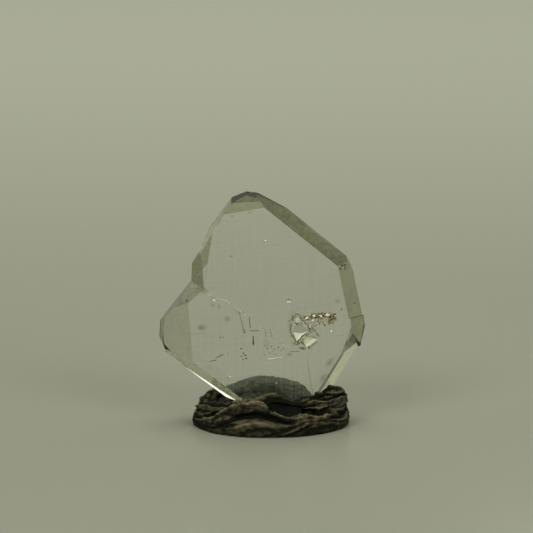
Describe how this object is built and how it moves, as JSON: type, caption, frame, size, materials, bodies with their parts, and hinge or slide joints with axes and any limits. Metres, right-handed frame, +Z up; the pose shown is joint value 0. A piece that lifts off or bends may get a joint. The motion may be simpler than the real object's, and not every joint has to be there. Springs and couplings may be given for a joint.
{
  "type": "twinned quartz crystal in a putty base",
  "caption": "Clear, flat Japan law quartz twin, two pointed crystals leaning apart from a shared broad face, standing upright in a lump of grey-brown putty.",
  "frame": {"origin": "on the surface the putty stands on, under the middle of the object's bounding box", "axes": "+Z up, +X to the right along the flat crystal's broad face, -Y towards the viewer, square to the broad front face"},
  "size_m": [0.0206, 0.0148, 0.0231],
  "materials": {
    "quartz": "clear and glossy, with small pits and brown iron stains",
    "putty": "matte, kneaded and creased"
  },
  "bodies": {
    "root": {"quartz_twin": "quartz", "putty": "putty"}
  },
  "joints": []
}
